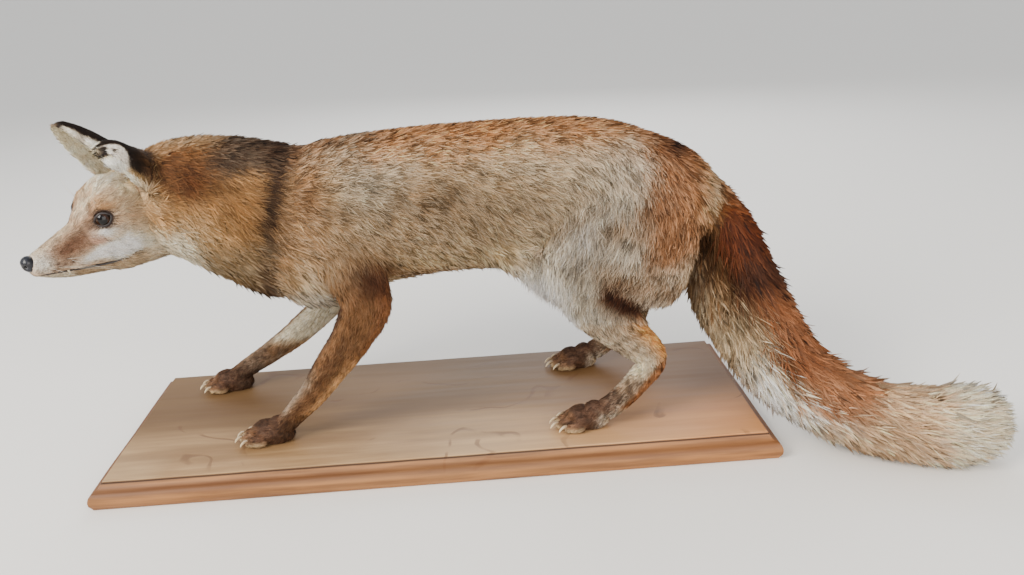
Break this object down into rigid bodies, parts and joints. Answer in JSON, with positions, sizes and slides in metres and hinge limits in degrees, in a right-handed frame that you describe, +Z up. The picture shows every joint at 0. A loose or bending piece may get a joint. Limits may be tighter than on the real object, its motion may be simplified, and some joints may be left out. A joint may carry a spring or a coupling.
{
  "type": "taxidermy fox on a wooden base",
  "caption": "Mounted red fox in a low stalking stance, head turned to its left, on an oblong wooden base with a moulded edge.",
  "frame": {"origin": "centre of the base board's underside", "axes": "-X the way the fox faces, -Y its left side, +Z up"},
  "size_m": [0.8546, 0.2873, 0.3259],
  "materials": {
    "base_wood": "worn clear finish, tan with faint dark scratches and a darker moulded edge",
    "body_coat": "dense buff-grey and rufous guard hair with dark bands, matt",
    "face_coat": "short pale beige hair, rufous on the muzzle side, white on the lip",
    "ear_coat": "short brown-black hair behind, whitish inside",
    "leg_coat": "short rufous and dark brown hair",
    "paw_coat": "very short dark brown hair, tan on the toes",
    "tail_coat": "long soft hair, rufous above, buff-grey below, cream at the tip",
    "glass_eye": "polished dark brown glass with a black pupil",
    "nose_skin": "blue-black, finely grained, slightly glossy",
    "claw_horn": "pale horn, semi-gloss",
    "lip_skin": "dark brown-black lips and eyelid rims",
    "whisker": "stiff white and dark hairs"
  },
  "bodies": {
    "root": {"base_board": "base_wood", "foreleg_left_upper": "leg_coat", "foreleg_left_lower": "leg_coat", "forepaw_left": "paw_coat", "hindleg_left_thigh": "leg_coat", "hindleg_left_shank": "leg_coat", "hindleg_left_metatarsus": "leg_coat", "hindpaw_left": "paw_coat", "forepaw_left_claw_1": "claw_horn", "forepaw_left_claw_2": "claw_horn", "forepaw_left_claw_3": "claw_horn", "forepaw_left_claw_4": "claw_horn", "hindpaw_left_claw_1": "claw_horn", "hindpaw_left_claw_2": "claw_horn", "hindpaw_left_claw_3": "claw_horn", "hindpaw_left_claw_4": "claw_horn", "foreleg_right_upper": "leg_coat", "foreleg_right_lower": "leg_coat", "forepaw_right": "paw_coat", "hindleg_right_thigh": "leg_coat", "hindleg_right_shank": "leg_coat", "hindleg_right_metatarsus": "leg_coat", "hindpaw_right": "paw_coat", "forepaw_right_claw_1": "claw_horn", "forepaw_right_claw_2": "claw_horn", "forepaw_right_claw_3": "claw_horn", "forepaw_right_claw_4": "claw_horn", "hindpaw_right_claw_1": "claw_horn", "hindpaw_right_claw_2": "claw_horn", "hindpaw_right_claw_3": "claw_horn", "hindpaw_right_claw_4": "claw_horn", "tail_root": "tail_coat", "tail_upper": "tail_coat", "tail_lower": "tail_coat", "tail_tip": "tail_coat", "rump": "body_coat", "loin": "body_coat", "chest": "body_coat", "neck": "body_coat", "ear_left": "ear_coat", "eye_left": "glass_eye", "ear_right": "ear_coat", "eye_right": "glass_eye", "nose_pad": "nose_skin", "lower_jaw": "face_coat", "muzzle": "face_coat", "cheeks_and_brow": "face_coat", "cranium": "face_coat"}
  },
  "joints": []
}
